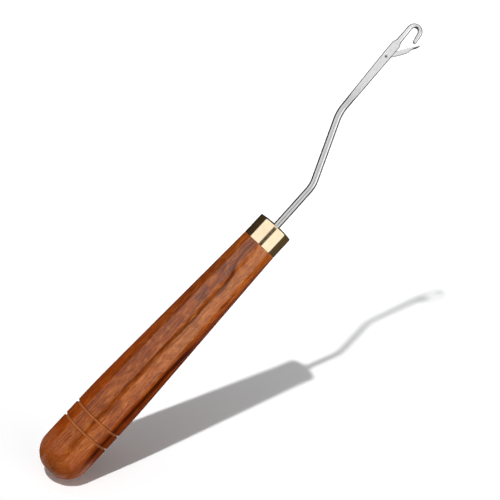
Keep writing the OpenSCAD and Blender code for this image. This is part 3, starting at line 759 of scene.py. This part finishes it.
# White paper. What the camera and reflections see of it glows, faintly round the butt, so that the shadow is
# deepest there, and up to full white far off. From below it isn't seen.
paper = new_material("white_paper")
from_touch = add(paper, "VectorMath", add(paper, "TexCoord", out="Object"), touch.tolist(), out="Value",
                 operation="DISTANCE")
glow = add(paper, "MapRange", from_touch, 0.0, 0.14, 0.02, 0.22)
glow = add(paper, "Math", glow, add(paper, "MapRange", from_touch, 0.14, 1.3, 0.0, 0.78), operation="ADD")
for_camera = add(paper, "LightPath", out="Is Camera Ray")
glow = add(paper, "Math", glow, seen_ray(paper), operation="MULTIPLY")
paper_white = add(paper, "BsdfDiffuse", (0.97, 0.98, 0.985, 1.0))
paper_glow = add(paper, "Emission", (1.0, 1.0, 1.0, 1.0), glow)
top_side = add(paper, "AddShader", paper_white, paper_glow)
behind = add(paper, "NewGeometry", out="Backfacing")
underneath = add(paper, "Math", behind, for_camera, operation="MULTIPLY")
paper_side = add(paper, "MixShader", underneath, top_side, add(paper, "BsdfTransparent"))
add(paper, "OutputMaterial", paper_side)
sheet("floor", [(floor_edge + a * level_way + b * down_way).tolist()
                for a, b in ((-3, 0), (3, 0), (3, 5), (-3, 5))], paper)

# LIGHT
# Two long softboxes lean in from either side and leave a gap for the camera, and a short one stands at the
# hook's side. The bright metal mirrors dark cards beside, behind and above the tool, which shape its edges.


def softbox(name, from_top, to_side, glow, side, turned=0.0, length=1.1):
    """An area lamp whose rectangle spans two angles from straight up, on one side of the tool. It may be
    turned round the tool towards the hook."""
    distance = 0.6
    middle, half, turned = np.radians([(from_top + to_side) / 2, (to_side - from_top) / 2, turned])
    lamp = bpy.data.lights.new(name, "AREA")
    lamp.shape, lamp.size, lamp.size_y = "RECTANGLE", length, 2 * distance * np.tan(half)
    lamp.energy = glow * np.pi * lamp.size * lamp.size_y
    box = bpy.data.objects.new(name, lamp)
    away = Vector((np.sin(middle) * np.sin(turned), side * np.sin(middle) * np.cos(turned), np.cos(middle)))
    box.location = away * distance
    box.rotation_euler = away.to_track_quat("Z", "Y").to_euler()
    box.visible_camera = False
    bpy.context.scene.collection.objects.link(box)


softbox("left_softbox", 11, 82, 0.25, 1)
softbox("right_softbox", 15, 80, 0.3, -1)
softbox("side_softbox", 50, 82, 1.0, -1, turned=32, length=0.35)
for name, energy, spread, towards in (
        ("key", 2.5, 2.0, (0.36, 0.5, 0.79)), ("fill", 1.05, 30, (0.1, -0.8, 0.59))):
    sun = bpy.data.lights.new(name, "SUN")
    sun.energy, sun.angle = energy, np.radians(spread)
    lamp = bpy.data.objects.new(name, sun)
    lamp.rotation_euler = Vector(towards).to_track_quat("Z", "Y").to_euler()
    lamp.visible_glossy = False
    bpy.context.scene.collection.objects.link(lamp)


def card_tone(name, beside, elsewhere):
    """A matt card, warm in the part that the ferrule mirrors and neutral elsewhere. That part is a fan: it is
    5 mm wide to either side of the ferrule, and wider by 0.15 of the distance to the side."""
    tone = new_material(name)
    along, aside, _ = add(tone, "SeparateXYZ", add(tone, "TexCoord", out="Object"), out=slice(3))
    along, aside = (add(tone, "Math", place, operation="ABSOLUTE") for place in (along, aside))
    wide = add(tone, "Math", aside, 0.15, operation="MULTIPLY")
    past = add(tone, "MapRange", add(tone, "Math", along, wide, operation="SUBTRACT"), 0.005, 0.009)
    tint = add(tone, "Mix", {0: past, 6: (*beside, 1.0), 7: (*elsewhere, 1.0)}, out=2, data_type="RGBA")
    add(tone, "OutputMaterial", add(tone, "BsdfDiffuse", tint))
    return tone


# A grey card round the lens, which ends over the wire, and three dark ones that only reflections show: on the
# left, on the right and behind the butt.
lens_card = sheet(
    "lens_card", [(-0.8, -0.17, 0.7), (-0.8, 0.09, 0.7), (0.045, 0.09, 0.7), (0.045, -0.17, 0.7)],
    card_tone("grey_tone", (0.30, 0.225, 0.13), (0.24, 0.235, 0.23)))
lens_card.visible_camera = False
for name, corners_at, tone in (
        ("left_card", ((-0.5, 0.0, -0.0075), (0.5, 0.0, -0.0075), (0.5, 0.5, 0.11), (-0.5, 0.5, 0.11)),
         card_tone("black_tone", (0.05, 0.036, 0.022), (0.042, 0.04, 0.038))),
        ("right_card", ((-0.5, 0.0, -0.0076), (0.5, 0.0, -0.0076), (0.5, -0.5, 0.11), (-0.5, -0.5, 0.11)),
         card_tone("brown_tone", (0.09, 0.065, 0.038), (0.06, 0.058, 0.056))),
        ("back_card", ((-0.4, -0.5, 0.0), (-0.4, 0.5, 0.0), (-0.4, 0.5, 0.6), (-0.4, -0.5, 0.6)),
         card_tone("slate_tone", (0.14, 0.14, 0.14), (0.14, 0.14, 0.14)))):
    card = sheet(name, corners_at, tone)
    card.visible_camera = card.visible_diffuse = card.visible_shadow = card.visible_transmission = False

# The studio's walls are white to the camera and to reflections, and give hardly any light of their own
walls = bpy.data.worlds.new("studio")
walls.use_nodes = True
walls.node_tree.nodes.clear()
wall_glow = add(walls, "MapRange", {"Value": seen_ray(walls), "To Min": 0.11})
add(walls, "OutputWorld", add(walls, "Background", (1.0, 1.0, 1.0, 1.0), wall_glow))
bpy.context.scene.world = walls

# CAMERA
# It looks straight down at the tool, which points to the upper right.
camera_data = bpy.data.cameras.new("camera")
camera_height, frame_width = 0.64, 0.1425
camera_data.lens = camera_data.sensor_width * camera_height / frame_width
camera = bpy.data.objects.new("camera", camera_data)
camera.location = (-6.45 * MM, 0.885 * MM, camera_height)
camera.rotation_euler = (0, 0, np.radians(-47.13))
bpy.context.scene.collection.objects.link(camera)
bpy.context.scene.camera = camera
bpy.context.scene.view_settings.view_transform = "Standard"
